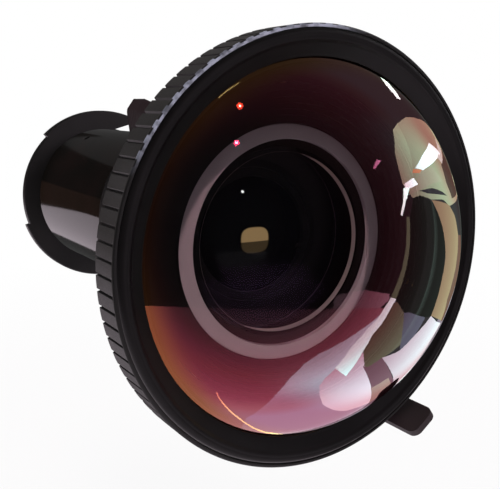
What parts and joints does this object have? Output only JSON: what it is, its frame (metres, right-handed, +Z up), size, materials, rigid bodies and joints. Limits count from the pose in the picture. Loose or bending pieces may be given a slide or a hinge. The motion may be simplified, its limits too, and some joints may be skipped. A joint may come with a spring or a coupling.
{
  "type": "projector lens",
  "caption": "Short-throw projector lens with a domed front glass, a ribbed corner-focus ring, a lever-driven focus ring and a lugged rear flange.",
  "frame": {"origin": "centre of the rear seat, the plane of the flange's rear face, on the optical axis", "axes": "-Y along the optical axis towards the domed front glass, +Z up as fitted, +X to the right as the lens is seen from the front"},
  "size_m": [0.1516, 0.2494, 0.1553],
  "materials": {
    "ring_plastic": "moulded black, fine ribs",
    "bezel_black": "satin black anodised",
    "barrel_black": "glossy black anodised",
    "housing_black": "fine matt black paint",
    "inner_black": "dull black anodised",
    "satin_ring": "satin turned metal",
    "lever_plastic": "moulded dark plastic",
    "seal_rubber": "black",
    "screw_steel": "blackened",
    "pin_brass": "turned",
    "coated_glass": "polished, anti-reflection coated"
  },
  "bodies": {
    "barrel": {"rear_flange": "bezel_black", "flange_screws": "screw_steel", "rear_cell": "inner_black", "rear_glass": "coated_glass", "rear_retaining_ring": "inner_black", "field_stop": "inner_black", "relay_back_glass": "coated_glass", "relay_spacer": "inner_black", "relay_front_glass": "coated_glass", "relay_retaining_ring": "inner_black", "barrel_tube": "barrel_black", "barrel_key_screws": "screw_steel", "front_housing": "housing_black", "focus_retainer": "housing_black", "front_glass": "coated_glass", "front_seal": "seal_rubber", "front_bezel": "bezel_black"},
    "focus_ring_body": {"focus_ring": "housing_black", "focus_lever": "lever_plastic", "lever_screws": "screw_steel", "finger_lug": "lever_plastic", "lug_screws": "screw_steel"},
    "focus_group": {"focus_carriage": "inner_black", "focus_pins": "pin_brass", "focus_retaining_ring": "satin_ring", "focus_front_glass": "coated_glass", "focus_spacer": "inner_black", "focus_rear_glass": "coated_glass", "aperture_stop": "inner_black"},
    "corner_ring": {"grip_ring": "ring_plastic"},
    "corner_group": {"corrector_cell": "inner_black", "corrector_pins": "pin_brass", "corrector_ring": "satin_ring", "corrector_glass": "coated_glass", "front_baffle": "inner_black"}
  },
  "joints": [
    {"name": "focus_turn", "type": "hinge", "parent": "barrel", "child": "focus_ring_body", "pos_m": [0, -0.1766, 0], "axis": [0, -1, 0], "range_deg": [-20, 20]},
    {"name": "focus_travel", "type": "slide", "parent": "barrel", "child": "focus_group", "axis": [0, -1, 0], "range_m": [-0.0025, 0.0025]},
    {"name": "corner_turn", "type": "hinge", "parent": "barrel", "child": "corner_ring", "pos_m": [0, -0.1957, 0], "axis": [0, -1, 0], "range_deg": [-15, 15]},
    {"name": "corner_travel", "type": "slide", "parent": "barrel", "child": "corner_group", "axis": [0, -1, 0], "range_m": [-0.00075, 0.00075]}
  ],
  "couplings": [
    {"joint": "focus_travel", "follows": "focus_turn", "m_per_rad": -0.0071619},
    {"joint": "corner_travel", "follows": "corner_turn", "m_per_rad": -0.0028647}
  ]
}
